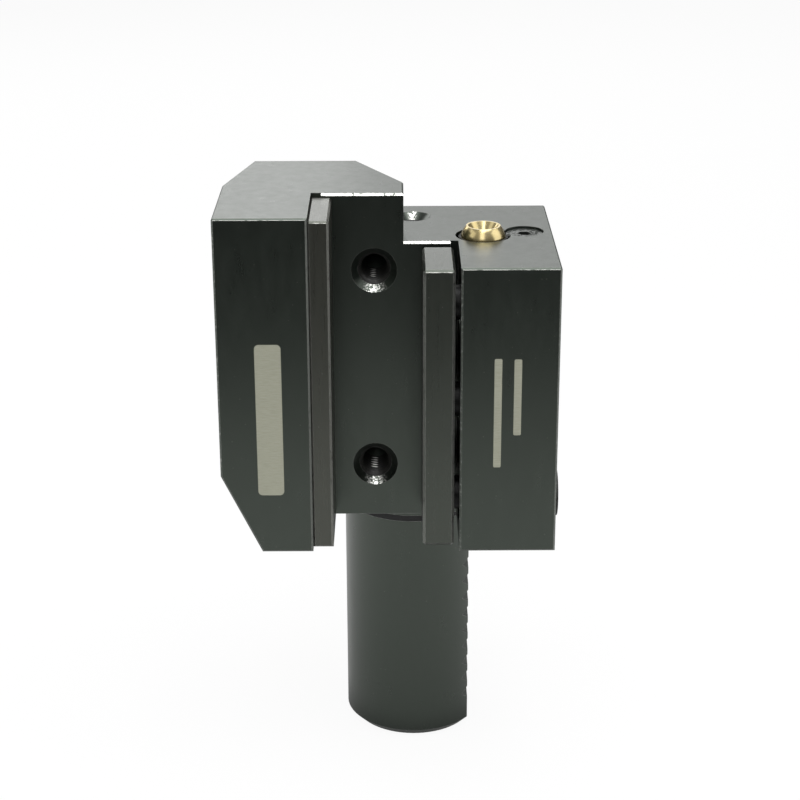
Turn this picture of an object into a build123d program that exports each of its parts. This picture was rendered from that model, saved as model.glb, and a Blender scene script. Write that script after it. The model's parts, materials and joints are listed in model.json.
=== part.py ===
from build123d import *
import os

# Axial tool holder with a round toothed shank, for a square turning tool.
# Millimetres. The origin is the centre of the flange's contact face, on the shank's axis.
# +Z runs up the tool channel, away from the shank. The channel is open to the front, -Y.
# The shank's teeth face right, +X.

# Shank
shank_diameter = 30.0
shank_length = 55.0
shank_end_chamfer = 1.8
shank_flat_offset = 12.0        # axis to the toothed flat
shank_flat_start = 9.0          # flange face to the upper end of the flat
tooth_pitch = 4.0
tooth_depth = 1.35              # the grooves' flanks stand at 90 degrees to each other
tooth_first = 14.7              # flange face to the middle of the first groove
tooth_count = 9
centre_hole_diameter = 6.3      # centre in the shank's end
centre_hole_angle = 60.0
centre_hole_pilot = 2.5
centre_hole_depth = 7.0

# Shank seal
seal_section = 1.2
seal_groove_start = 0.8         # flange face to the groove
seal_groove_clearance = 0.1

# Body, measured from the shank's axis
body_left = 39.0
body_right = 28.5
body_front = 34.5
body_back = 13.0
body_height = 70.0
block_drop = 10.0               # how much lower the right-hand block is
step_offset = 2.1               # axis to the step between the two heights, on the left
step_depth = 28.5               # front to where the step turns into the slanted back
step_back_offset = 12.0         # axis to the step's slanted face at the back
taper_back_offset = 34.0        # axis to the slanted left face at the back
taper_start = 26.5              # front to where the left face starts to slant
foot_chamfer_width = 8.0        # sloping cut at the foot of the left limb
foot_chamfer_height = 16.6
edge_chamfer = 0.35

# Flange behind the body
flange_thickness = 22.0
flange_back = 35.0
flange_corner = 4.0

# Tool channel
channel_width = 29.7
channel_left_offset = 20.7      # axis to the channel's left wall
channel_depth = 19.0
left_relief_width = 2.1         # corner grooves beside the channel's back wall
right_relief_width = 1.65
relief_depth = 0.7
channel_edge_chamfer = 0.45

# Tapped holes in the channel's back wall
wall_hole_core = 6.8
wall_hole_countersink = 9.4
wall_hole_depth = 12.0
wall_hole_left = 8.1            # axis to the holes
wall_hole_first = 11.5
wall_hole_top_gap = 16.0        # last hole to the limb's top
wall_hole_count = 2

# Tapped hole in the block's top
top_hole_core = 5.0
top_hole_countersink = 7.7
top_hole_depth = 14.0
top_hole_left = 0.1
top_hole_back = 4.1
drill_point_angle = 118.0
countersink_angle = 90.0

# Support bar on the channel's left wall
bar_front_recess = 0.4          # both bars stand back from the body's front
support_bar_thickness = 4.15
support_bar_foot_gap = 0.85
support_bar_top_gap = 0.7
support_bar_back_gap = 0.1
support_bar_chamfer = 0.4

# Screws through the left limb that hold the support bar
bar_screw_diameter = 5.0
bar_screw_length = 16.0
bar_screw_head_diameter = 8.5
bar_screw_head_height = 5.0
bar_screw_socket = 4.0          # across flats
bar_screw_socket_depth = 2.5
bar_screw_wall = 0.6            # metal left in the bar in front of the screw's end
bar_screw_hole_clearance = 0.25
bar_screw_head_clearance = 0.3
bar_screw_tip_clearance = 0.2
bar_screw_thread_clearance = 0.05
bar_screw_first = 25.0
bar_screw_top_gap = 15.0        # upper screw to the limb's top
bar_screw_names = ("lower", "upper")

# Clamping bar on the right
clamp_bar_thickness = 6.3
clamp_bar_rest_gap = 1.1        # to the channel's right wall
clamp_bar_foot_gap = 1.1
clamp_bar_top_gap = 0.5
clamp_bar_back_gap = 2.0
clamp_bar_chamfer = 0.5

# Clamping screws through the right block
clamp_screw_diameter = 12.0
clamp_screw_length = 23.0
clamp_screw_point_diameter = 7.0
clamp_screw_point_length = 4.5
clamp_screw_socket = 6.0        # across flats
clamp_screw_socket_depth = 8.0
clamp_screw_clearance = 0.05
clamp_point_clearance = 0.1
clamp_point_end_clearance = 0.1
clamp_point_hole_depth = 3.0
clamp_screw_first = 9.5
clamp_screw_top_gap = 9.5       # upper screw to the block's top
clamp_screw_names = ("lower", "middle", "upper")
lower_screw_back_off = 1.25     # the lower screw is turned out further than the others

# Ball nozzle on the block's top
nozzle_right = 14.2
nozzle_front = 10.7
nozzle_ball_diameter = 9.3
nozzle_ball_sink = 1.0          # ball's centre below the top face
nozzle_stand_out = 2.05
nozzle_foot_drop = 4.2          # ball's centre to its flat foot
nozzle_mouth_diameter = 6.2
nozzle_mouth_depth = 2.4
nozzle_bore_diameter = 3.0
nozzle_ball_clearance = 0.05

# Ring that holds the ball down, and the seal under the ball
nozzle_recess_diameter = 11.4
nozzle_recess_depth = 3.0
ring_recess_clearance = 0.1
ring_flange_height = 0.9
ring_collar_diameter = 10.1
ring_top_sink = 0.25
ball_seal_section = 1.5
ball_seal_angle = 45.0          # where the seal meets the ball, from straight down
ball_seal_clearance = 0.05

# Screw beside the nozzle, whose head holds the ring
ring_screw_right = 22.8
ring_screw_front = 7.9
ring_screw_head_diameter = 7.6
ring_screw_head_height = 1.65
ring_screw_head_clearance = 0.2
ring_screw_diameter = 5.0
ring_screw_length = 10.0
ring_screw_clearance = 0.05
ring_screw_socket = 2.5         # across flats
ring_screw_socket_depth = 1.5

# Coolant ducts inside the body
duct_diameter = 5.0
duct_height = 12.0              # flange face to the cross duct
inlet_diameter = 6.0
inlet_right = 19.0
plug_diameter = 8.0
plug_length = 5.0
plug_sink = 0.8
plug_clearance = 0.05
plug_socket = 4.0               # across flats
plug_socket_depth = 3.0

# Places worked out from the sizes above
shank_radius = shank_diameter / 2
block_height = body_height - block_drop
left_x = -body_left
right_x = body_right
front_y = -body_front
step_x = -step_offset
channel_left_x = -channel_left_offset
channel_right_x = channel_left_x + channel_width
channel_back_y = front_y + channel_depth
bar_front_y = front_y + bar_front_recess
wall_hole_span = body_height - wall_hole_top_gap - wall_hole_first
wall_hole_spacing = wall_hole_span / (wall_hole_count - 1)
support_bar_back_y = channel_back_y - support_bar_back_gap
support_bar_face_x = channel_left_x + support_bar_thickness
bar_screw_y = (bar_front_y + support_bar_back_y) / 2
bar_screw_tip_x = support_bar_face_x - bar_screw_wall - bar_screw_tip_clearance
bar_screw_seat_x = bar_screw_tip_x - bar_screw_length
bar_screw_span = body_height - bar_screw_top_gap - bar_screw_first
bar_screw_spacing = bar_screw_span / (len(bar_screw_names) - 1)
clamp_bar_right_x = channel_right_x - clamp_bar_rest_gap
clamp_bar_left_x = clamp_bar_right_x - clamp_bar_thickness
clamp_bar_back_y = channel_back_y - clamp_bar_back_gap
clamp_screw_y = (bar_front_y + clamp_bar_back_y) / 2
clamp_screw_tip_x = clamp_bar_right_x - clamp_point_hole_depth + clamp_point_end_clearance
clamp_screw_span = block_height - clamp_screw_top_gap - clamp_screw_first
clamp_screw_spacing = clamp_screw_span / (len(clamp_screw_names) - 1)
nozzle_y = -nozzle_front
ring_screw_y = -ring_screw_front
ball_radius = nozzle_ball_diameter / 2
ball_centre_z = block_height - nozzle_ball_sink
recess_floor_z = block_height - nozzle_recess_depth
ring_flange_top_z = recess_floor_z + ring_flange_height
seal_radius = ball_seal_section / 2
seal_reach = ball_radius + seal_radius + ball_seal_clearance
seal_drop_vector = Vector(0, -seal_reach).rotate(Axis.Z, ball_seal_angle)
ball_seal_ring_radius = seal_drop_vector.X
ball_seal_z = ball_centre_z + seal_drop_vector.Y
ball_pocket_radius = ball_seal_ring_radius + seal_radius + ball_seal_clearance
ball_pocket_z = ball_seal_z - seal_radius - ball_seal_clearance


def prism(points, height, base=0.0):
    """Upright prism over a closed outline of (x, y) points."""
    outline = make_face(Polyline(*points, close=True))
    return Pos(0, 0, base) * extrude(outline, height)


def block(low, high):
    """Box between two opposite corners."""
    size = [high[i] - low[i] for i in range(3)]
    return Pos(*low) * Box(*size, align=(Align.MIN, Align.MIN, Align.MIN))


def rod(radius, length):
    """Cylinder that starts at the origin and runs along +Z."""
    return Cylinder(radius, length, align=(Align.CENTER, Align.CENTER, Align.MIN))


def hex_socket(across_flats, depth):
    """Hexagonal hole that starts at the origin and runs along +Z."""
    return extrude(RegularPolygon(across_flats / 2, 6, major_radius=False), depth)


def tapped_hole(core, countersink, depth):
    """Countersunk blind hole with a drilled point, from the origin down along -Z."""
    radius = core / 2
    mouth = countersink / 2
    mouth_depth = (mouth - radius) / tan_of(countersink_angle / 2)
    point_depth = radius / tan_of(drill_point_angle / 2)
    outline = Polyline(
        (0, 0),
        (mouth, 0),
        (radius, -mouth_depth),
        (radius, -depth),
        (0, -depth - point_depth),
        close=True,
    )
    return turned(outline)


def turned(outline):
    """Solid of revolution about Z of an outline drawn as (radius, height)."""
    return revolve(Plane.XZ * make_face(outline), Axis.Z)


def tan_of(degrees):
    """Tangent of an angle in degrees."""
    direction = Vector(1, 0).rotate(Axis.Z, degrees)
    return direction.Y / direction.X


def facing(x, y, z, axis):
    """Place at a point, with local +Z turned to the named row axis."""
    turns = {"+X": (0, 90, 0), "-X": (0, -90, 0), "+Y": (-90, 0, 0), "-Y": (90, 0, 0), "+Z": (0, 0, 0)}
    return Pos(x, y, z) * Rot(*turns[axis])


def edges_at(shape, axis, value):
    """Edges that lie in the plane across an axis at a value."""
    return shape.edges().filter_by_position(axis, value, value)


# Body
def upper_body():
    """Left limb, back wall and right block over the flange, before the channel is cut."""
    taper_y = front_y + taper_start
    step_back_y = front_y + step_depth
    low_outline = [
        (left_x, front_y),
        (right_x, front_y),
        (right_x, body_back),
        (-taper_back_offset, body_back),
        (left_x, taper_y),
    ]
    tall_outline = [
        (left_x, front_y),
        (step_x, front_y),
        (step_x, step_back_y),
        (-step_back_offset, body_back),
        (-taper_back_offset, body_back),
        (left_x, taper_y),
    ]
    return prism(low_outline, block_height) + prism(tall_outline, body_height)


def flange():
    """Plate that seats on the turret, reaching behind the body."""
    outline = [
        (left_x, front_y),
        (right_x, front_y),
        (right_x, flange_back - flange_corner),
        (right_x - flange_corner, flange_back),
        (left_x + flange_corner, flange_back),
        (left_x, flange_back - flange_corner),
    ]
    return prism(outline, flange_thickness)


def foot_cut():
    """Sloping cut along the foot of the left limb."""
    depth = body_front + flange_back
    corner = make_face(
        Polyline((left_x, 0), (left_x + foot_chamfer_width, 0), (left_x, foot_chamfer_height), close=True)
    )
    return Pos(0, flange_back, 0) * extrude(Plane.XZ * corner, depth)


def channel_cut():
    """Open channel for the tool, with a relief groove in each back corner."""
    channel = block((channel_left_x, front_y, 0), (channel_right_x, channel_back_y, body_height))
    groove_back_y = channel_back_y + relief_depth
    left_groove = block(
        (channel_left_x, channel_back_y, 0),
        (channel_left_x + left_relief_width, groove_back_y, body_height),
    )
    right_groove = block(
        (channel_right_x - right_relief_width, channel_back_y, 0),
        (channel_right_x, groove_back_y, body_height),
    )
    return channel + left_groove + right_groove


def break_edges(body):
    """Chamfers on the edges of the front, of the top faces and of the channel's back wall."""
    wall_edges = edges_at(body, Axis.Y, channel_back_y).filter_by(Axis.X)
    wall_edges = wall_edges.filter_by_position(Axis.Z, block_height, body_height)
    body = chamfer(wall_edges, channel_edge_chamfer)
    behind_channel_y = channel_back_y + relief_depth + edge_chamfer
    limb_top = edges_at(body, Axis.Z, body_height)
    block_top = edges_at(body, Axis.Z, block_height)
    chosen = edges_at(body, Axis.Y, front_y)
    chosen += limb_top.filter_by_position(Axis.Y, behind_channel_y, body_back)
    chosen += limb_top.filter_by_position(Axis.X, left_x, left_x)
    chosen += block_top.filter_by_position(Axis.Y, body_back, body_back)
    chosen += block_top.filter_by_position(Axis.X, right_x, right_x)
    return chamfer(ShapeList(set(chosen)), edge_chamfer)


def shank():
    """Round shank with its toothed flat, seal groove and centre hole."""
    groove_floor = shank_radius - seal_section - seal_groove_clearance / 2
    groove_end = seal_groove_start + seal_section + seal_groove_clearance
    outline = Polyline(
        (0, 0),
        (shank_radius, 0),
        (shank_radius, -seal_groove_start),
        (groove_floor, -seal_groove_start),
        (groove_floor, -groove_end),
        (shank_radius, -groove_end),
        (shank_radius, -shank_length + shank_end_chamfer),
        (shank_radius - shank_end_chamfer, -shank_length),
        (0, -shank_length),
        close=True,
    )
    flat = block(
        (shank_flat_offset, -shank_radius, -shank_length),
        (shank_radius, shank_radius, -shank_flat_start),
    )
    return turned(outline) - flat - tooth_grooves() - centre_hole()


def tooth_grooves():
    """V grooves across the flat, one pitch apart."""
    vee = make_face(
        Polyline(
            (shank_flat_offset, tooth_depth),
            (shank_flat_offset - tooth_depth, 0),
            (shank_flat_offset, -tooth_depth),
            close=True,
        )
    )
    groove = Pos(0, shank_radius, 0) * extrude(Plane.XZ * vee, shank_diameter)
    places = [Pos(0, 0, -tooth_first - tooth_pitch * i) for i in range(tooth_count)]
    return Compound([place * groove for place in places])


def centre_hole():
    """Centre drilled into the shank's end."""
    cone_radius = centre_hole_diameter / 2
    pilot_radius = centre_hole_pilot / 2
    cone_depth = (cone_radius - pilot_radius) / tan_of(centre_hole_angle / 2)
    outline = Polyline(
        (0, 0),
        (cone_radius, 0),
        (pilot_radius, cone_depth),
        (pilot_radius, centre_hole_depth),
        (0, centre_hole_depth),
        close=True,
    )
    return Pos(0, 0, -shank_length) * turned(outline)


def body_holes():
    """Every tapped hole, screw bore and duct of the body."""
    holes = []
    for i in range(wall_hole_count):
        height = wall_hole_first + wall_hole_spacing * i
        hole = tapped_hole(wall_hole_core, wall_hole_countersink, wall_hole_depth)
        holes.append(facing(-wall_hole_left, channel_back_y, height, "-Y") * hole)
    top_hole = tapped_hole(top_hole_core, top_hole_countersink, top_hole_depth)
    holes.append(Pos(-top_hole_left, top_hole_back, block_height) * top_hole)
    for i in range(len(bar_screw_names)):
        holes.append(bar_screw_bore(i))
    for i in range(len(clamp_screw_names)):
        radius = clamp_screw_diameter / 2 + clamp_screw_clearance
        bore = rod(radius, right_x - channel_right_x)
        holes.append(facing(channel_right_x, clamp_screw_y, clamp_screw_z(i), "+X") * bore)
    return holes + nozzle_seat() + coolant_ducts()


def bar_screw_bore(i):
    """Counterbored hole through the left limb for one support bar screw."""
    head_bore = rod(bar_screw_head_diameter / 2 + bar_screw_head_clearance, bar_screw_seat_x - left_x)
    shaft_bore = rod(bar_screw_diameter / 2 + bar_screw_hole_clearance, channel_left_x - left_x)
    return facing(left_x, bar_screw_y, bar_screw_z(i), "+X") * (head_bore + shaft_bore)


def nozzle_seat():
    """Recesses for the ball, its ring and seal, and the ring's screw."""
    recess = Pos(nozzle_right, nozzle_y, recess_floor_z) * rod(nozzle_recess_diameter / 2, nozzle_recess_depth)
    pocket = Pos(nozzle_right, nozzle_y, ball_pocket_z) * rod(ball_pocket_radius, block_height - ball_pocket_z)
    head_radius = ring_screw_head_diameter / 2 + ring_screw_head_clearance
    head_depth = block_height - ring_flange_top_z
    screw_place = Pos(ring_screw_right, ring_screw_y, ring_flange_top_z)
    head_recess = screw_place * rod(head_radius, head_depth)
    thread_radius = ring_screw_diameter / 2 + ring_screw_clearance
    thread_hole = screw_place * Rot(180, 0, 0) * tapped_tip(thread_radius, ring_screw_length)
    return [recess, pocket, head_recess, thread_hole]


def tapped_tip(radius, length):
    """Blind bore along +Z, one diameter deeper than the screw in it."""
    return rod(radius, length + radius * 2)


def coolant_ducts():
    """Inlet in the flange face, plugged cross duct, and riser to the nozzle."""
    duct_radius = duct_diameter / 2
    riser = Pos(nozzle_right, nozzle_y, duct_height) * rod(duct_radius, ball_pocket_z - duct_height)
    inlet = Pos(inlet_right, nozzle_y, 0) * rod(inlet_diameter / 2, duct_height)
    cross_start = nozzle_right - duct_radius
    cross = facing(cross_start, nozzle_y, duct_height, "+X") * rod(duct_radius, right_x - cross_start)
    plug_bore = rod(plug_diameter / 2 + plug_clearance, plug_length + plug_sink)
    plug_hole = facing(right_x, nozzle_y, duct_height, "-X") * plug_bore
    return [riser, inlet, cross, plug_hole]


def holder_body():
    """Body, flange and shank, machined from one piece."""
    body = upper_body() + flange() - foot_cut() - channel_cut()
    body = break_edges(body)
    body = body + shank()
    for hole in body_holes():
        body = body - hole
    return body


# Support bar and its screws
def bar_screw_z(i):
    """Height of a support bar screw."""
    return bar_screw_first + bar_screw_spacing * i


def support_bar():
    """Hardened bar that the tool shank rests against."""
    low = (channel_left_x, bar_front_y, support_bar_foot_gap)
    high = (support_bar_face_x, support_bar_back_y, body_height - support_bar_top_gap)
    bar = block(low, high)
    exposed = edges_at(bar, Axis.Z, high[2]) + edges_at(bar, Axis.Y, bar_front_y)
    bar = chamfer(ShapeList(set(exposed)), support_bar_chamfer)
    for i in range(len(bar_screw_names)):
        hole_depth = support_bar_thickness - bar_screw_wall
        hole = rod(bar_screw_diameter / 2 + bar_screw_thread_clearance, hole_depth)
        bar = bar - facing(channel_left_x, bar_screw_y, bar_screw_z(i), "+X") * hole
    return bar


def bar_screw(i):
    """Socket head screw that holds the support bar from the limb's outside."""
    head = Pos(0, 0, -bar_screw_head_height) * rod(bar_screw_head_diameter / 2, bar_screw_head_height)
    shaft = rod(bar_screw_diameter / 2, bar_screw_length)
    socket = Pos(0, 0, -bar_screw_head_height) * hex_socket(bar_screw_socket, bar_screw_socket_depth)
    screw = head + shaft - socket
    return facing(bar_screw_seat_x, bar_screw_y, bar_screw_z(i), "+X") * screw


# Clamping bar and its screws
def clamp_screw_z(i):
    """Height of a clamping screw."""
    return clamp_screw_first + clamp_screw_spacing * i


def clamping_bar():
    """Loose bar that the clamping screws press against the tool."""
    low = (clamp_bar_left_x, bar_front_y, clamp_bar_foot_gap)
    high = (clamp_bar_right_x, clamp_bar_back_y, block_height - clamp_bar_top_gap)
    bar = chamfer(block(low, high).edges(), clamp_bar_chamfer)
    radius = clamp_screw_point_diameter / 2 + clamp_point_clearance
    for i in range(len(clamp_screw_names)):
        hole = rod(radius, clamp_point_hole_depth)
        bar = bar - facing(clamp_bar_right_x, clamp_screw_y, clamp_screw_z(i), "-X") * hole
    return bar


def clamping_screw(i):
    """Socket set screw with a plain point that sits in the clamping bar."""
    point_radius = clamp_screw_point_diameter / 2
    thread_radius = clamp_screw_diameter / 2
    outline = Polyline(
        (0, 0),
        (point_radius, 0),
        (point_radius, clamp_screw_point_length),
        (thread_radius, clamp_screw_point_length),
        (thread_radius, clamp_screw_length),
        (0, clamp_screw_length),
        close=True,
    )
    socket_start = clamp_screw_length - clamp_screw_socket_depth
    socket = Pos(0, 0, socket_start) * hex_socket(clamp_screw_socket, clamp_screw_socket_depth)
    tip_x = clamp_screw_tip_x
    if i == 0:
        tip_x = clamp_screw_tip_x + lower_screw_back_off
    return facing(tip_x, clamp_screw_y, clamp_screw_z(i), "+X") * (turned(outline) - socket)


# Ball nozzle, its ring, seal and screw
def coolant_nozzle():
    """Ball with a flared mouth that turns in its seat to aim the coolant."""
    ball = Sphere(ball_radius)
    kept = block(
        (-ball_radius, -ball_radius, -nozzle_foot_drop),
        (ball_radius, ball_radius, nozzle_ball_sink + nozzle_stand_out),
    )
    rim_z = nozzle_ball_sink + nozzle_stand_out
    bore_radius = nozzle_bore_diameter / 2
    passage = Polyline(
        (0, -nozzle_foot_drop),
        (bore_radius, -nozzle_foot_drop),
        (bore_radius, rim_z - nozzle_mouth_depth),
        (nozzle_mouth_diameter / 2, rim_z),
        (0, rim_z),
        close=True,
    )
    return Pos(nozzle_right, nozzle_y, ball_centre_z) * ((ball & kept) - turned(passage))


def nozzle_ring():
    """Stepped ring whose bore narrows over the ball and holds it down."""
    flange_radius = nozzle_recess_diameter / 2 - ring_recess_clearance
    collar_radius = ring_collar_diameter / 2
    floor = recess_floor_z - ball_centre_z
    top = block_height - ring_top_sink - ball_centre_z
    bore_radius = ball_radius + nozzle_ball_clearance
    mouth_radius = (bore_radius**2 - top**2) ** 0.5
    outline = Polyline(
        (bore_radius, floor),
        (flange_radius, floor),
        (flange_radius, floor + ring_flange_height),
        (collar_radius, floor + ring_flange_height),
        (collar_radius, top),
        (mouth_radius, top),
        (bore_radius, 0),
        close=True,
    )
    return Pos(nozzle_right, nozzle_y, ball_centre_z) * turned(outline)


def ball_seal():
    """Seal under the ball, a ring with an eight-sided section."""
    sides = 8
    section = Rot(0, 0, 180 / sides) * RegularPolygon(seal_radius, sides, major_radius=False)
    ring = revolve(Plane.XZ * Pos(ball_seal_ring_radius, 0) * section, Axis.Z)
    return Pos(nozzle_right, nozzle_y, ball_seal_z) * ring


def ring_screw():
    """Flat-headed screw whose edge holds the nozzle's ring."""
    head = rod(ring_screw_head_diameter / 2, ring_screw_head_height)
    shaft = Pos(0, 0, -ring_screw_length) * rod(ring_screw_diameter / 2, ring_screw_length)
    socket_start = ring_screw_head_height - ring_screw_socket_depth
    socket = Pos(0, 0, socket_start) * hex_socket(ring_screw_socket, ring_screw_socket_depth)
    return Pos(ring_screw_right, ring_screw_y, ring_flange_top_z) * (head + shaft - socket)


# Duct plug and shank seal
def duct_plug():
    """Set screw that closes the cross duct at the right face."""
    screw = rod(plug_diameter / 2, plug_length)
    socket = hex_socket(plug_socket, plug_socket_depth)
    return facing(right_x - plug_sink, nozzle_y, duct_height, "-X") * (screw - socket)


def shank_seal():
    """Square seal in the groove under the flange, level with the shank."""
    inner_radius = shank_radius - seal_section
    outline = Polyline(
        (inner_radius, 0),
        (shank_radius, 0),
        (shank_radius, -seal_section),
        (inner_radius, -seal_section),
        close=True,
    )
    return Pos(0, 0, -seal_groove_start - seal_groove_clearance / 2) * turned(outline)


parts = {
    "holder_body": holder_body(),
    "support_bar": support_bar(),
    "clamping_bar": clamping_bar(),
    "coolant_nozzle": coolant_nozzle(),
    "nozzle_retaining_ring": nozzle_ring(),
    "nozzle_seal": ball_seal(),
    "ring_screw": ring_screw(),
    "duct_plug": duct_plug(),
    "shank_seal": shank_seal(),
}
for index, name in enumerate(bar_screw_names):
    parts["support_bar_screw_" + name] = bar_screw(index)
for index, name in enumerate(clamp_screw_names):
    parts["clamping_screw_" + name] = clamping_screw(index)

os.makedirs("parts", exist_ok=True)
for name, shape in parts.items():
    export_step(shape, "parts/" + name + ".step")
    print(name, round(shape.volume, 1))
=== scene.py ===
import json
import math
import bmesh
import bpy
from mathutils import Matrix, Vector


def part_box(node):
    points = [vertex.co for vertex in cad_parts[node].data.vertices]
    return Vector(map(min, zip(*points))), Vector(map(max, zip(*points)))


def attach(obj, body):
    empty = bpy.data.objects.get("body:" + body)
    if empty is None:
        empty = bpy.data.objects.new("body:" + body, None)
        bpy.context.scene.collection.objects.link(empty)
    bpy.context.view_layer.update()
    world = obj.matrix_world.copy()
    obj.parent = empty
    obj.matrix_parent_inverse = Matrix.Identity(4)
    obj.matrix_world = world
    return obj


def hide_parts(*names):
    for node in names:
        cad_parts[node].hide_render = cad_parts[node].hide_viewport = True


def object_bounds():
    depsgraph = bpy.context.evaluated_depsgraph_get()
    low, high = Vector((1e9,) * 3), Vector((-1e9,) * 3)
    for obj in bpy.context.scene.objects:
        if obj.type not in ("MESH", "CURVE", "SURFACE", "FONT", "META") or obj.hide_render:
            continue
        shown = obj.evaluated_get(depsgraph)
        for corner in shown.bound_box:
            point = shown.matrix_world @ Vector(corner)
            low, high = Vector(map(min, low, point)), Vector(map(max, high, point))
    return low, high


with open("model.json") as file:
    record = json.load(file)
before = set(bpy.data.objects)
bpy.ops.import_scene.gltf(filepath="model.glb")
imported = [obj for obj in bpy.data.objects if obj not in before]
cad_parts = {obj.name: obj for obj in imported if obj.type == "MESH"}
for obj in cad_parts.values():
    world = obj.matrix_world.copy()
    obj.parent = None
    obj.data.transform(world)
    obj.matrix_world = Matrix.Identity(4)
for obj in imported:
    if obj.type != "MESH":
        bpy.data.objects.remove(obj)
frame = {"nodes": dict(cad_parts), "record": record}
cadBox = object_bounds()
nodes = frame["nodes"]
print("frame loaded,", len(nodes), "CAD nodes")


# Small helpers for building node trees
def addNode(tree, kind, inputs=None, **settings):
    node = tree.nodes.new(kind)
    for key, value in settings.items():
        setattr(node, key, value)
    for socket, value in (inputs or {}).items():
        if isinstance(value, bpy.types.NodeSocket):
            tree.links.new(value, node.inputs[socket])
        else:
            node.inputs[socket].default_value = value
    return node


def calc(tree, operation, *values):
    return addNode(tree, "ShaderNodeMath", dict(enumerate(values)), operation=operation).outputs[0]


def dot(tree, first, second):
    return addNode(tree, "ShaderNodeVectorMath", {0: first, 1: second}, operation="DOT_PRODUCT").outputs["Value"]


def remap(tree, value, fromLow, fromHigh, toLow=0.0, toHigh=1.0):
    inputs = {"Value": value, "From Min": fromLow, "From Max": fromHigh, "To Min": toLow, "To Max": toHigh}
    return addNode(tree, "ShaderNodeMapRange", inputs).outputs[0]


def mixColour(tree, share, first, second):
    node = addNode(tree, "ShaderNodeMix", data_type="RGBA")
    for socket, value in ((0, share), (6, first), (7, second)):
        if isinstance(value, bpy.types.NodeSocket):
            tree.links.new(value, node.inputs[socket])
        else:
            node.inputs[socket].default_value = value
    return node.outputs[2]


def mixValue(tree, share, first, second):
    return addNode(tree, "ShaderNodeMix", {0: share, 2: first, 3: second}).outputs[0]


def newGroup(name, inputs, outputs):
    tree = bpy.data.node_groups.new(name, "ShaderNodeTree")
    for label, kind, value in inputs:
        tree.interface.new_socket(label, in_out="INPUT", socket_type=kind).default_value = value
    for label, kind in outputs:
        tree.interface.new_socket(label, in_out="OUTPUT", socket_type=kind)
    return tree, tree.nodes.new("NodeGroupInput").outputs, tree.nodes.new("NodeGroupOutput").inputs


def objectPlace(tree):
    return tree.nodes.new("ShaderNodeTexCoord").outputs["Object"]  # equals the frame's own coordinates


floatSocket, vectorSocket = "NodeSocketFloat", "NodeSocketVector"


# Bare metal along sharp edges, patchy as handling leaves it
def makeEdgeWear():
    tree, given, result = newGroup(
        "edgeWear",
        [("Width", floatSocket, 0.0003), ("Patch Scale", floatSocket, 700.0), ("Amount", floatSocket, 0.6)],
        [("Mask", floatSocket)],
    )
    rounded = addNode(tree, "ShaderNodeBevel", {"Radius": given["Width"]}, samples=8).outputs[0]
    true = tree.nodes.new("ShaderNodeNewGeometry").outputs["Normal"]
    match = dot(tree, rounded, true)
    turned = remap(tree, match, 0.985, 0.90)  # cosines of the angle by which the edge turns the normal
    patchInputs = {"Vector": objectPlace(tree), "Scale": given["Patch Scale"], "Detail": 3.0}
    noise = addNode(tree, "ShaderNodeTexNoise", patchInputs)
    patches = remap(tree, noise.outputs[0], 0.35, 0.6, 0.35, 1.0)
    worn = calc(tree, "MULTIPLY", turned, patches)
    tree.links.new(calc(tree, "MULTIPLY", worn, given["Amount"]), result["Mask"])
    return tree


# Fine parallel lines that a grinder or a lathe leaves
def makeToolLines():
    tree, given, result = newGroup(
        "toolLines",
        [("Stretch", vectorSocket, (1.0, 1.0, 1.0)), ("Scale", floatSocket, 400.0)],
        [("Lines", floatSocket)],
    )
    place = addNode(tree, "ShaderNodeVectorMath", {0: objectPlace(tree), 1: given["Stretch"]}, operation="MULTIPLY")
    lineInputs = {"Vector": place.outputs[0], "Scale": given["Scale"], "Detail": 4.0, "Roughness": 0.7}
    noise = addNode(tree, "ShaderNodeTexNoise", lineInputs)
    tree.links.new(noise.outputs[0], result["Lines"])
    return tree


# Broad cloudy rubbing and tiny pale specks of dust in the black finish
def makeHandling():
    tree, given, result = newGroup(
        "handling",
        [
            ("Cloud Scale", floatSocket, 60.0),
            ("Speck Scale", floatSocket, 1100.0),
            ("Speck Size", floatSocket, 0.10),  # share of a speck cell
        ],
        [("Clouds", floatSocket), ("Specks", floatSocket)],
    )
    place = objectPlace(tree)
    cloudInputs = {"Vector": place, "Scale": given["Cloud Scale"], "Detail": 5.0, "Roughness": 0.6}
    clouds = addNode(tree, "ShaderNodeTexNoise", cloudInputs)
    tree.links.new(remap(tree, clouds.outputs[0], 0.3, 0.7), result["Clouds"])
    cells = addNode(tree, "ShaderNodeTexVoronoi", {"Vector": place, "Scale": given["Speck Scale"]})
    near = calc(tree, "LESS_THAN", cells.outputs["Distance"], given["Speck Size"])
    red = addNode(tree, "ShaderNodeSeparateColor", {0: cells.outputs["Color"]}).outputs[0]
    rare = calc(tree, "GREATER_THAN", red, 0.90)  # one cell in ten has a speck
    tree.links.new(calc(tree, "MULTIPLY", near, rare), result["Specks"])
    return tree


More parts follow.
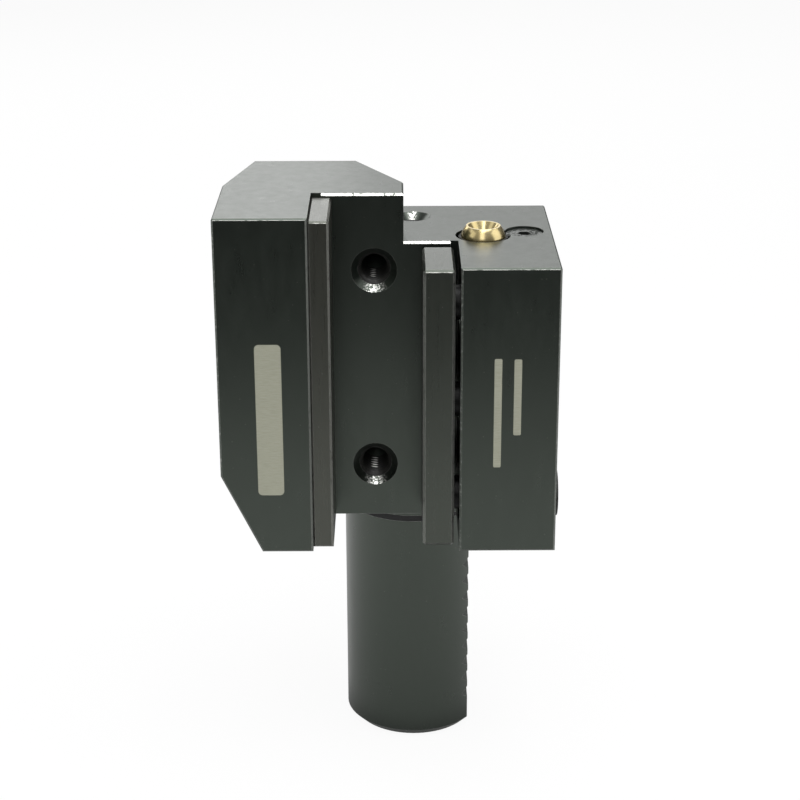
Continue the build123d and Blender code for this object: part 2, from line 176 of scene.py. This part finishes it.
# Bright metal on faces that look one way: a chamfer dressed after the steel was blackened, and painted highlights and
# glints where countersinks and thread flanks face the lamps
def makeCutFacesAndHighlights():
    tree, given, result = newGroup(
        "cutFacesAndHighlights",
        [
            ("Facing", vectorSocket, (0.0, -0.7071, 0.7071)),
            ("Full Within", floatSocket, 0.999),  # cosine of the angle to that direction
            ("None Beyond", floatSocket, 0.996),
            ("Patch Scale", floatSocket, 900.0),
            ("Patch Low", floatSocket, 0.25),
            ("Patch High", floatSocket, 0.45),
            ("Behind", floatSocket, -1.0),  # from here to "Before" along Y
            ("Before", floatSocket, 1.0),
            ("Amount", floatSocket, 1.0),
        ],
        [("Mask", floatSocket)],
    )
    normal = tree.nodes.new("ShaderNodeNewGeometry").outputs["Normal"]
    match = dot(tree, normal, given["Facing"])
    turned = remap(tree, match, given["None Beyond"], given["Full Within"])
    place = objectPlace(tree)
    noise = addNode(tree, "ShaderNodeTexNoise", {"Vector": place, "Scale": given["Patch Scale"], "Detail": 3.0})
    patches = remap(tree, noise.outputs[0], given["Patch Low"], given["Patch High"])
    depth = addNode(tree, "ShaderNodeSeparateXYZ", {0: place}).outputs[1]
    behind = calc(tree, "GREATER_THAN", depth, given["Behind"])
    before = calc(tree, "LESS_THAN", depth, given["Before"])
    between = calc(tree, "MULTIPLY", behind, before)
    mask = calc(tree, "MULTIPLY", calc(tree, "MULTIPLY", turned, patches), between)
    tree.links.new(calc(tree, "MULTIPLY", mask, given["Amount"]), result["Mask"])
    return tree


# Rounded rectangle on the front face, as a marking laser leaves it when it carries no marks
def makeBlankField():
    tree, given, result = newGroup(
        "blankField",
        [
            ("Centre", vectorSocket, (0.0, 0.0, 0.0)),
            ("Half Size", vectorSocket, (0.003, 0.0002, 0.015)),
            ("Corner", floatSocket, 0.001),
        ],
        [("Mask", floatSocket)],
    )
    offset = addNode(tree, "ShaderNodeVectorMath", {0: objectPlace(tree), 1: given["Centre"]}, operation="SUBTRACT")
    away = addNode(tree, "ShaderNodeVectorMath", {0: offset.outputs[0]}, operation="ABSOLUTE")
    past = addNode(tree, "ShaderNodeVectorMath", {0: away.outputs[0], 1: given["Half Size"]}, operation="SUBTRACT")
    x, y, z = addNode(tree, "ShaderNodeSeparateXYZ", {0: past.outputs[0]}).outputs
    cornerX = calc(tree, "MAXIMUM", calc(tree, "ADD", x, given["Corner"]), 0.0)
    cornerZ = calc(tree, "MAXIMUM", calc(tree, "ADD", z, given["Corner"]), 0.0)
    squared = calc(tree, "ADD", calc(tree, "MULTIPLY", cornerX, cornerX), calc(tree, "MULTIPLY", cornerZ, cornerZ))
    distance = calc(tree, "SUBTRACT", calc(tree, "SQRT", squared), given["Corner"])
    inside = remap(tree, distance, 0.00004, -0.00004)
    onFace = calc(tree, "LESS_THAN", y, 0.0)
    tree.links.new(calc(tree, "MULTIPLY", inside, onFace), result["Mask"])
    return tree


edgeWear = makeEdgeWear()
toolLines = makeToolLines()
handling = makeHandling()
blankField = makeBlankField()
cutFacesAndHighlights = makeCutFacesAndHighlights()
print("shader groups built")


def newMaterial(name):
    material = bpy.data.materials.new(name)
    material.use_nodes = True
    tree = material.node_tree
    return material, tree, tree.nodes["Principled BSDF"]


def placeGroup(tree, group, named):
    node = tree.nodes.new("ShaderNodeGroup")
    node.node_tree = group
    for key, value in named.items():
        node.inputs[key].default_value = value
    return node.outputs


blackSteel = {
    "deep": (0.0045, 0.0060, 0.0050, 1.0),
    "rubbed": (0.0070, 0.0088, 0.0074, 1.0),
    "speck": (0.07, 0.07, 0.06, 1.0),
    "bare": (0.52, 0.52, 0.50, 1.0),
    "etched": (0.42, 0.418, 0.335, 1.0),
    "etchedDark": (0.33, 0.328, 0.255, 1.0),
    "etchedRoughness": (0.45, 0.65),
    "etchedMetal": 0.35,
    "hatchStretch": (0.4, 1.0, 9.0),
    "hatchScale": 1300.0,
    # bare metal colour of the dressed chamfers, also the colour of the painted countersink highlights
    "cut": (0.72, 0.72, 0.69, 1.0),
    "dulls": [
        (0.50, {"Facing": (0.7071, 0.0, 0.7071), "Patch Low": 0.0, "Patch High": 0.1}),  # upper flanks of the teeth
    ],
    "cutsAndHighlights": [
        # chamfers above the channel's back wall
        {"Behind": -0.0156, "Before": -0.0151, "Patch Low": 0.34, "Patch High": 0.50},
        # lower edge of the front's top chamfers
        {"Before": -0.03444, "Patch Low": 0.38, "Patch High": 0.55, "Amount": 0.5},
        # painted highlights on the lower sides of the countersinks in the back wall
        {
            "Full Within": 0.99,
            "None Beyond": 0.90,
            "Patch Scale": 2600.0,
            "Patch Low": 0.47,
            "Patch High": 0.60,
            "Behind": -0.0156,
            "Before": -0.0138,
        },
        # painted highlight on the back of the countersink in the block's top
        {
            "Full Within": 0.995,
            "None Beyond": 0.97,
            "Patch Scale": 2000.0,
            "Patch Low": 0.42,
            "Patch High": 0.55,
            "Behind": 0.0,
        },
        # upright front edges that look right
        {"Facing": (0.7071, -0.7071, 0.0), "Before": -0.033, "Amount": 0.09},
        # upright front edges that look left, scuffed
        {
            "Facing": (-0.7071, -0.7071, 0.0),
            "Patch Scale": 1400.0,
            "Patch Low": 0.54,
            "Patch High": 0.66,
            "Before": -0.033,
            "Amount": 0.2,
        },
    ],
    "roughness": (0.27, 0.33),
    "tint": (0.88, 1.0, 0.87, 1.0),
    "gloss": 0.91,
    "bump": 0.04,
    "edgeWidth": 0.00018,
    "edgeAmount": 0.4,
    "fields": [  # left blank
        {"centre": (-0.0289, -0.0345, 0.0286), "half": (0.0026, 0.0002, 0.0160), "corner": 0.0009},
        {"centre": (0.0164, -0.0345, 0.0300), "half": (0.00075, 0.0002, 0.0115), "corner": 0.0003},
        {"centre": (0.0203, -0.0345, 0.0334), "half": (0.00075, 0.0002, 0.0080), "corner": 0.0003},
    ],
}


def makeSteel(name, look, stretch, lineScale):
    material, tree, shader = newMaterial(name)
    clouds, specks = placeGroup(tree, handling, {"Cloud Scale": look.get("cloudScale", 60.0)})
    lines = placeGroup(tree, toolLines, {"Stretch": stretch, "Scale": lineScale})["Lines"]
    worn = placeGroup(tree, edgeWear, {"Width": look["edgeWidth"], "Amount": look["edgeAmount"]})["Mask"]
    mottled = mixColour(tree, mixValue(tree, 0.5, clouds, lines), look["deep"], look["rubbed"])
    dusty = mixColour(tree, specks, mottled, look["speck"])
    colour = mixColour(tree, worn, dusty, look["bare"])
    roughness = remap(tree, lines, 0.3, 0.7, *look["roughness"])
    for dullness, dull in look.get("dulls", ()):
        roughness = mixValue(tree, placeGroup(tree, cutFacesAndHighlights, dull)["Mask"], roughness, dullness)
    metal = calc(tree, "MAXIMUM", worn, look.get("metal", 0.0))
    # bare metal on dressed chamfers, and painted highlights and glints on countersinks and thread flanks
    for cut in look.get("cutsAndHighlights", ()):
        mask = placeGroup(tree, cutFacesAndHighlights, cut)["Mask"]
        colour = mixColour(tree, mask, colour, look["cut"])
        metal = calc(tree, "MAXIMUM", metal, mask)
    if "fields" in look:
        masks = []
        for field in look["fields"]:
            shape = {"Centre": field["centre"], "Half Size": field["half"], "Corner": field["corner"]}
            masks.append(placeGroup(tree, blankField, shape)["Mask"])
        etched = masks[0]
        for mask in masks[1:]:
            etched = calc(tree, "MAXIMUM", etched, mask)
        hatch = placeGroup(tree, toolLines, {"Stretch": look["hatchStretch"], "Scale": look["hatchScale"]})["Lines"]
        hatched = mixColour(tree, remap(tree, hatch, 0.3, 0.7), look["etched"], look["etchedDark"])
        colour = mixColour(tree, etched, colour, hatched)
        roughness = mixValue(tree, etched, roughness, remap(tree, hatch, 0.3, 0.7, *look["etchedRoughness"]))
        metal = calc(tree, "MAXIMUM", metal, calc(tree, "MULTIPLY", etched, look["etchedMetal"]))
    height = addNode(tree, "ShaderNodeBump", {"Strength": look["bump"], "Distance": 0.0001, "Height": lines})
    shader.inputs["Specular Tint"].default_value = look["tint"]
    shader.inputs["Specular IOR Level"].default_value = look.get("gloss", 0.5)
    tree.links.new(colour, shader.inputs["Base Color"])
    tree.links.new(roughness, shader.inputs["Roughness"])
    tree.links.new(metal, shader.inputs["Metallic"])
    tree.links.new(height.outputs[0], shader.inputs["Normal"])
    return material


barSteel = {
    "deep": (0.0155, 0.0155, 0.0125, 1.0),
    "rubbed": (0.0215, 0.0210, 0.0175, 1.0),
    "speck": (0.09, 0.09, 0.08, 1.0),
    "bare": (0.52, 0.51, 0.49, 1.0),
    "roughness": (0.26, 0.34),
    "tint": (0.95, 1.0, 0.88, 1.0),
    "gloss": 0.92,
    "cut": (0.60, 0.60, 0.57, 1.0),
    "cutsAndHighlights": [  # top front chamfer, then the upright ones
        {"Before": -0.03398, "Patch Low": 0.36, "Patch High": 0.55, "Amount": 0.5},
        {"Facing": (0.7071, -0.7071, 0.0), "Amount": 0.10},
        {"Facing": (-0.7071, -0.7071, 0.0), "Amount": 0.08},
    ],
    "bump": 0.08,
    "edgeWidth": 0.00022,
    "edgeAmount": 0.42,
    "cloudScale": 90.0,
}
clampBarSteel = {
    **barSteel,
    "deep": (0.0080, 0.0092, 0.0075, 1.0),
    "rubbed": (0.0125, 0.0138, 0.0115, 1.0),
    "tint": (0.91, 1.0, 0.87, 1.0),
}
screwSteel = {
    "deep": (0.004, 0.0045, 0.004, 1.0),
    "rubbed": (0.009, 0.0095, 0.009, 1.0),
    "speck": (0.05, 0.05, 0.05, 1.0),
    "bare": (0.30, 0.30, 0.29, 1.0),
    "gloss": 0.35,
    "roughness": (0.36, 0.46),
    "tint": (1.0, 1.0, 1.0, 1.0),
    "bump": 0.1,
    "edgeWidth": 0.00015,
    "edgeAmount": 0.4,
}
# Blackened steel of the retaining ring under the nozzle, its colour darker and its gloss lower than the body's:
# painted shade of the recess the ring sits in
ringSteelWithPaintedShade = {
    "deep": (0.003, 0.003, 0.003, 1.0),
    "rubbed": (0.007, 0.007, 0.0065, 1.0),
    "speck": (0.01, 0.01, 0.01, 1.0),
    "bare": (0.45, 0.44, 0.42, 1.0),
    "gloss": 0.2,
    "roughness": (0.50, 0.62),
    "tint": (0.95, 1.0, 0.95, 1.0),
    "bump": 0.15,
    "edgeWidth": 0.0001,
    "edgeAmount": 0.25,
    "cloudScale": 400.0,
}
discSteel = {
    "deep": (0.0070, 0.0085, 0.0075, 1.0),
    "rubbed": (0.012, 0.014, 0.0125, 1.0),
    "speck": (0.0015, 0.0015, 0.0015, 1.0),
    "dulls": [
        (0.95, {"Facing": (0.0, 0.0, 1.0), "Patch Scale": 1500.0, "Patch Low": 0.50, "Patch High": 0.57}),  # scratches
    ],
    "bare": (0.45, 0.44, 0.42, 1.0),
    "roughness": (0.26, 0.36),
    "tint": (0.93, 1.0, 0.93, 1.0),
    "bump": 0.15,
    "gloss": 0.9,
    "edgeWidth": 0.0001,
    "edgeAmount": 0.25,
    "cloudScale": 400.0,
}
threadSteelAndGlints = {
    "deep": (0.010, 0.010, 0.009, 1.0),
    "rubbed": (0.020, 0.020, 0.018, 1.0),
    "speck": (0.04, 0.04, 0.04, 1.0),
    "bare": (0.25, 0.25, 0.24, 1.0),
    # colour of the painted glints on the thread flanks
    "cut": (0.85, 0.85, 0.82, 1.0),
    "cutsAndHighlights": [  # painted glints on the flanks deep down
        {
            "Facing": (0.0, -0.866, 0.5),
            "Full Within": 0.9965,
            "None Beyond": 0.988,
            "Patch Low": 0.2,
            "Patch High": 0.4,
            "Behind": -0.0100,
        },
    ],
    "dulls": [(0.5, {"Facing": (0.0, -0.866, 0.5), "Full Within": 0.985, "None Beyond": 0.955})],
    "roughness": (0.30, 0.40),
    "tint": (1.0, 1.0, 1.0, 1.0),
    "bump": 0.1,
    "edgeWidth": 0.0001,
    "edgeAmount": 0.5,
}
brassLook = {
    "bright": (0.66, 0.555, 0.305, 1.0),
    "dull": (0.59, 0.475, 0.225, 1.0),
    "roughness": (0.17, 0.25),
    "turned": 0.5,  # how far highlights run across the turning lines
    "bump": 0.08,
}
rubberLook = {"dark": (0.004, 0.004, 0.004, 1.0), "pale": (0.012, 0.012, 0.012, 1.0), "roughness": (0.55, 0.75)}


def makeBrass():
    material, tree, shader = newMaterial("turnedBrass")
    clouds = placeGroup(tree, handling, {"Cloud Scale": 500.0})["Clouds"]
    lines = placeGroup(tree, toolLines, {"Stretch": (0.15, 0.15, 6.0), "Scale": 1500.0})["Lines"]
    tree.links.new(mixColour(tree, clouds, brassLook["bright"], brassLook["dull"]), shader.inputs["Base Color"])
    tree.links.new(remap(tree, lines, 0.3, 0.7, *brassLook["roughness"]), shader.inputs["Roughness"])
    height = addNode(tree, "ShaderNodeBump", {"Strength": brassLook["bump"], "Distance": 0.00005, "Height": lines})
    tree.links.new(height.outputs[0], shader.inputs["Normal"])
    shader.inputs["Metallic"].default_value = 1.0
    shader.inputs["Anisotropic"].default_value = brassLook["turned"]
    return material


def makeRubber():
    material, tree, shader = newMaterial("sealRubber")
    clouds = placeGroup(tree, handling, {"Cloud Scale": 900.0})["Clouds"]
    tree.links.new(mixColour(tree, clouds, rubberLook["dark"], rubberLook["pale"]), shader.inputs["Base Color"])
    tree.links.new(remap(tree, clouds, 0.0, 1.0, *rubberLook["roughness"]), shader.inputs["Roughness"])
    return material


finishes = {
    "black_steel": makeSteel("blackedSteel", blackSteel, (1.0, 1.0, 0.25), 500.0),
    "bar_steel": makeSteel("groundBarSteel", barSteel, (3.0, 3.0, 0.08), 600.0),
    "screw_steel": makeSteel("screwSteel", screwSteel, (1.0, 1.0, 1.0), 900.0),
    "ring_steel": makeSteel("ringSteelWithPaintedShade", ringSteelWithPaintedShade, (1.0, 1.0, 1.0), 900.0),
    "brass": makeBrass(),
    "rubber": makeRubber(),
}
clampBarFinish = makeSteel("clampBarSteel", clampBarSteel, (3.0, 3.0, 0.08), 600.0)
discFinish = makeSteel("discSteel", discSteel, (1.0, 1.0, 1.0), 900.0)
threadFinish = makeSteel("threadSteelAndGlints", threadSteelAndGlints, (1.0, 1.0, 1.0), 900.0)
for entry in frame["record"]["subparts"]:
    for holder in nodes[entry["node"]].material_slots:
        holder.material = finishes[entry["material_slot"]]
for name, finish in (("ring_screw", discFinish), ("clamping_bar", clampBarFinish)):
    for holder in nodes[name].material_slots:
        holder.material = finish
print("finishes placed on the CAD nodes")


# Threads. A thread is a sheared grid, so its crest follows the helix exactly.
threadLook = {
    "columns": 60,
    "steps": 8,
    "ridge": 0.54,  # height over pitch, in the tapped holes
}


def ring(mesh, height, radiusAt):
    points = []
    for i in range(threadLook["columns"]):
        angle = 2 * math.pi * i / threadLook["columns"]
        radius = radiusAt(angle)
        points.append(mesh.verts.new((radius * math.cos(angle), radius * math.sin(angle), height)))
    return points


def joinRings(mesh, first, second):
    for i in range(len(first)):
        mesh.faces.new((first[i - 1], first[i], second[i], second[i - 1]))


def threadShare(step):
    across = abs(2 * step / threadLook["steps"] - 1)  # 1 at the crest's edge, 0 in the root
    return min(1.0, max(0.0, (1 - across - 0.125) / 0.625))  # flat crest and root, straight flanks


def helix(mesh, low, high, pitch, radiusAt):
    columns, steps = threadLook["columns"], threadLook["steps"]
    rows = steps * (math.ceil((high - low) / pitch) + 2)
    grid = {}
    for i in range(columns):
        angle = 2 * math.pi * i / columns
        for j in range(rows + 1):
            height = low - pitch + (i / columns + j / steps) * pitch
            height = min(high, max(low, height))
            radius = radiusAt(height, threadShare(j % steps))
            grid[i, j] = mesh.verts.new((radius * math.cos(angle), radius * math.sin(angle), height))
    for j in range(rows):
        for i in range(columns - 1):
            mesh.faces.new((grid[i, j], grid[i + 1, j], grid[i + 1, j + 1], grid[i, j + 1]))
        if j + steps + 1 <= rows:
            lower, upper = j + steps, j + steps + 1
            mesh.faces.new((grid[columns - 1, j], grid[0, lower], grid[0, upper], grid[columns - 1, j + 1]))


def endRing(mesh, height):
    found = [v for v in mesh.verts if abs(v.co.z - height) < 1e-7]
    return sorted(found, key=lambda v: math.atan2(v.co.y, v.co.x) % (2 * math.pi - 1e-6))


def finishMesh(mesh, name, place, body, finish):
    bmesh.ops.recalc_face_normals(mesh, faces=mesh.faces)
    mesh.transform(place)
    data = bpy.data.meshes.new(name)
    mesh.to_mesh(data)
    mesh.free()
    data.shade_smooth()
    data.set_sharp_from_angle(angle=math.radians(38))
    piece = bpy.data.objects.new(name, data)
    bpy.context.scene.collection.objects.link(piece)
    data.materials.append(finish)
    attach(piece, body)
    return piece


# Clamping screws with real threads, a turned point and a socket
clampingScrew = {
    "thread": 0.006,
    "depth": 0.00107,
    "pitch": 0.00175,
    "point": 0.0035,
    "pointLength": 0.0045,
    "pointChamfer": 0.0003,
    "socket": 0.003,
    "socketDepth": 0.008,
    "socketChamfer": 0.0003,
}


def hexRadius(apothem):
    return lambda angle: apothem / math.cos((angle + math.pi / 6) % (math.pi / 3) - math.pi / 6)


def makeClampingScrew(node, body):
    look = clampingScrew
    low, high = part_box(node)
    length = high.x - low.x
    start = look["pointLength"]
    root = look["thread"] - look["depth"]

    def radiusAt(height, share):
        inner = root + height - start
        outer = root + length - height
        return min(look["thread"] - look["depth"] * share, inner, outer)

    mesh = bmesh.new()
    helix(mesh, start, length, look["pitch"], radiusAt)
    bmesh.ops.remove_doubles(mesh, verts=mesh.verts, dist=1e-7)
    lower, upper = endRing(mesh, start), endRing(mesh, length)
    point = look["point"]
    tip = ring(mesh, 0.0, lambda angle: point - look["pointChamfer"])
    neck = ring(mesh, look["pointChamfer"], lambda angle: point)
    shoulder = ring(mesh, start, lambda angle: point)
    mesh.faces.new(tip)
    joinRings(mesh, tip, neck)
    joinRings(mesh, neck, shoulder)
    joinRings(mesh, shoulder, lower)
    flat = hexRadius(look["socket"])
    mouth = ring(mesh, length, lambda angle: flat(angle) + look["socketChamfer"])
    wall = ring(mesh, length - look["socketChamfer"], flat)
    floor = ring(mesh, length - look["socketDepth"], flat)
    joinRings(mesh, upper, mouth)
    joinRings(mesh, mouth, wall)
    joinRings(mesh, wall, floor)
    mesh.faces.new(floor)
    middle = (low + high) / 2
    place = Matrix.Translation((low.x, middle.y, middle.z)) @ Matrix.Rotation(math.radians(90), 4, "Y")
    piece = finishMesh(mesh, node + "_threaded", place, body, finishes["screw_steel"])
    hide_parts(node)


for level in ("lower", "middle", "upper"):
    makeClampingScrew("clamping_screw_" + level, level + "_screw")
print("clamping screws threaded")


# Thread ridges inside the tapped holes
tappedHoles = {
    "wallHoleLower": {
        "mouth": (-0.0081, -0.0155, 0.0115),
        "turn": 90,
        "core": 0.0034,
        "pitch": 0.00125,
        "from": 0.00135,
        "to": 0.0118,
    },
    "wallHoleUpper": {
        "mouth": (-0.0081, -0.0155, 0.0540),
        "turn": 90,
        "core": 0.0034,
        "pitch": 0.00125,
        "from": 0.00135,
        "to": 0.0118,
    },
    "topHole": {
        "mouth": (-0.0001, 0.0041, 0.0600),
        "turn": 0,
        "core": 0.0025,
        "pitch": 0.0010,
        "from": 0.0014,
        "to": 0.0136,
    },
}


def makeThreadRidges(name, hole):
    wall = hole["core"] - 0.000005
    base = hole["core"] - 0.00002
    low, high = -hole["to"], -hole["from"]

    def radiusAt(height, share):
        runOut = min(height - low, high - height)
        return base - min(threadLook["ridge"] * hole["pitch"] * (1 - share), runOut)

    mesh = bmesh.new()
    helix(mesh, low, high, hole["pitch"], radiusAt)
    bmesh.ops.remove_doubles(mesh, verts=mesh.verts, dist=1e-7)
    lower, upper = endRing(mesh, low), endRing(mesh, high)
    outerLow = ring(mesh, low, lambda angle: wall)
    outerHigh = ring(mesh, high, lambda angle: wall)
    joinRings(mesh, lower, outerLow)
    joinRings(mesh, outerLow, outerHigh)
    joinRings(mesh, outerHigh, upper)
    place = Matrix.Translation(hole["mouth"]) @ Matrix.Rotation(math.radians(hole["turn"]), 4, "X")
    finishMesh(mesh, name + "Thread", place, "root", threadFinish)


for name, hole in tappedHoles.items():
    makeThreadRidges(name, hole)
print("hole threads cut")


# Floor, lights and camera
studio = {
    "floorHeight": cadBox[0].z,
    "floorSize": 6.0,
    "floorColour": (0.93, 0.93, 0.93, 1.0),
    "cameraGlow": 0.93,  # share of plain white that the camera sees in the floor
    "mirrorGlow": 0.97,  # the same in reflections
    "worldLight": 0.35,
    "horizonLight": 0.08,  # the world's lowest part as reflections show it
    "horizonFrom": 0.05,  # heights between which it fades into the sky, 1 being overhead
    "horizonTo": 0.45,
    "frontNear": -0.215,  # where the floor's glow in reflections starts to be painted darker, along Y, for dark surroundings in front
    "frontFar": -0.31,
    "frontDark": 0.0,
    "footClear": 0.19,  # radius beyond which the floor shows none of the object's painted shade, in reflections
    "footFade": 0.25,
    "contactFrom": 0.014,  # radii of the painted contact shadow, a dark ring right under the shank's end, in reflections
    "contactTo": 0.026,
    "contactDark": 0.45,
}
lamps = {
    "topSoftbox": {
        "place": (0.05, -0.1, 0.65),
        "aim": (0.0, 0.0, 0.0),
        "size": (0.55, 0.55),
        "power": 3.4,
    },
    "backPanel": {
        "place": (-0.365, 0.75, 0.41),
        "aim": (0.0, 0.0, 0.05),
        "size": (0.8, 0.4),
        "power": 2.03,
    },
    "backRight": {
        "place": (0.18, 0.79, 0.43),
        "aim": (0.0, 0.0, 0.05),
        "size": (0.4, 0.4),
        "power": 0.68,
    },
    "leftPanel": {
        "place": (-0.6, -0.15, 0.27),
        "aim": (0.0, 0.0, 0.0),
        "size": (0.5, 0.6),
        "power": 0.68,
    },
    "rightPanel": {
        "place": (0.6, -0.1, 0.27),
        "aim": (0.0, 0.0, 0.0),
        "size": (0.55, 0.6),
        "power": 1.3,
    },
    "frontStrip": {
        "place": (-0.09, -0.755, 0.56),
        "aim": (0.0, 0.0, 0.04),
        "size": (0.34, 0.66),
        "power": 1.15,
    },
}
cameraView = {
    "lens": 84.735,
    "sensor": 36.0,
    "place": (-0.003745, -0.382605, 0.164196),
    "down": 20.651,  # degrees, as are the next two
    "right": 0.129,
    "roll": -0.181,
}


def makeFloor():
    half = studio["floorSize"] / 2
    mesh = bmesh.new()
    corners = ((-half, -half), (half, -half), (half, half), (-half, half))
    mesh.faces.new([mesh.verts.new((x, y, 0.0)) for x, y in corners])
    data = bpy.data.meshes.new("floor")
    mesh.to_mesh(data)
    mesh.free()
    floor = bpy.data.objects.new("floor", data)
    floor.location.z = studio["floorHeight"]
    bpy.context.scene.collection.objects.link(floor)
    material, tree, shader = newMaterial("paleFloor")
    shader.inputs["Base Color"].default_value = studio["floorColour"]
    shader.inputs["Roughness"].default_value = 0.9
    path = tree.nodes.new("ShaderNodeLightPath").outputs
    glow = tree.nodes.new("ShaderNodeEmission")
    place = objectPlace(tree)
    # In reflections the floor's glow carries painted shade: darker toward the front, for dark surroundings, and a
    # painted contact shadow round the shank's foot and under its end
    depth = addNode(tree, "ShaderNodeSeparateXYZ", {0: place}).outputs[1]
    glowWithPaintedShade = remap(tree, depth, studio["frontFar"], studio["frontNear"], studio["frontDark"], 1.0)
    away = addNode(tree, "ShaderNodeVectorMath", {0: place}, operation="LENGTH").outputs["Value"]
    near = calc(tree, "MINIMUM", calc(tree, "DIVIDE", away, studio["footClear"]), 1.0)
    footShadow = calc(tree, "POWER", near, studio["footFade"])
    contactShadow = remap(tree, away, studio["contactFrom"], studio["contactTo"], studio["contactDark"], 1.0)
    glowWithPaintedShade = calc(tree, "MULTIPLY", calc(tree, "MULTIPLY", glowWithPaintedShade, footShadow), contactShadow)
    strength = mixValue(tree, path["Is Camera Ray"], glowWithPaintedShade, 1.0)
    tree.links.new(strength, glow.inputs["Strength"])
    mirrored = calc(tree, "MULTIPLY", path["Is Glossy Ray"], studio["mirrorGlow"])
    share = mixValue(tree, path["Is Camera Ray"], mirrored, studio["cameraGlow"])
    blend = addNode(tree, "ShaderNodeMixShader", {0: share, 1: shader.outputs[0], 2: glow.outputs[0]})
    tree.links.new(blend.outputs[0], tree.nodes["Material Output"].inputs["Surface"])
    data.materials.append(material)


def makeWorld():
    world = bpy.data.worlds.new("paleStudio")
    bpy.context.scene.world = world
    world.use_nodes = True
    tree = world.node_tree
    path = tree.nodes.new("ShaderNodeLightPath").outputs
    backdrop = tree.nodes["Background"]
    backdrop.inputs["Color"].default_value = (1.0, 1.0, 1.0, 1.0)
    direction = tree.nodes.new("ShaderNodeTexCoord").outputs["Generated"]
    height = addNode(tree, "ShaderNodeSeparateXYZ", {0: direction}).outputs[2]
    sky = remap(
        tree, height, studio["horizonFrom"], studio["horizonTo"], studio["horizonLight"], studio["worldLight"]
    )
    mirrored = mixValue(tree, path["Is Glossy Ray"], studio["worldLight"], sky)
    tree.links.new(mixValue(tree, path["Is Camera Ray"], mirrored, 1.0), backdrop.inputs["Strength"])


def makeLamp(name, lamp):
    data = bpy.data.lights.new(name, "AREA")
    data.shape = "RECTANGLE"
    data.size, data.size_y = lamp["size"]
    data.energy = lamp["power"]
    light = bpy.data.objects.new(name, data)
    light.location = lamp["place"]
    heading = Vector(lamp["aim"]) - Vector(lamp["place"])
    light.rotation_euler = heading.to_track_quat("-Z", "Y").to_euler()
    light.visible_camera = False
    bpy.context.scene.collection.objects.link(light)


def makeCamera():
    data = bpy.data.cameras.new("photoCamera")
    data.lens = cameraView["lens"]
    data.sensor_width = cameraView["sensor"]
    data.clip_start, data.clip_end = 0.01, 20.0
    camera = bpy.data.objects.new("photoCamera", data)
    heading = Matrix.Rotation(-math.radians(cameraView["right"]), 4, "Z")
    tilt = Matrix.Rotation(math.radians(90 - cameraView["down"]), 4, "X")
    roll = Matrix.Rotation(math.radians(cameraView["roll"]), 4, "Z")
    camera.matrix_world = Matrix.Translation(cameraView["place"]) @ heading @ tilt @ roll
    bpy.context.scene.collection.objects.link(camera)
    bpy.context.scene.camera = camera


makeFloor()
makeWorld()
for name, lamp in lamps.items():
    makeLamp(name, lamp)
makeCamera()
bpy.context.scene.view_settings.view_transform = "Standard"
print("floor, lights and camera set")
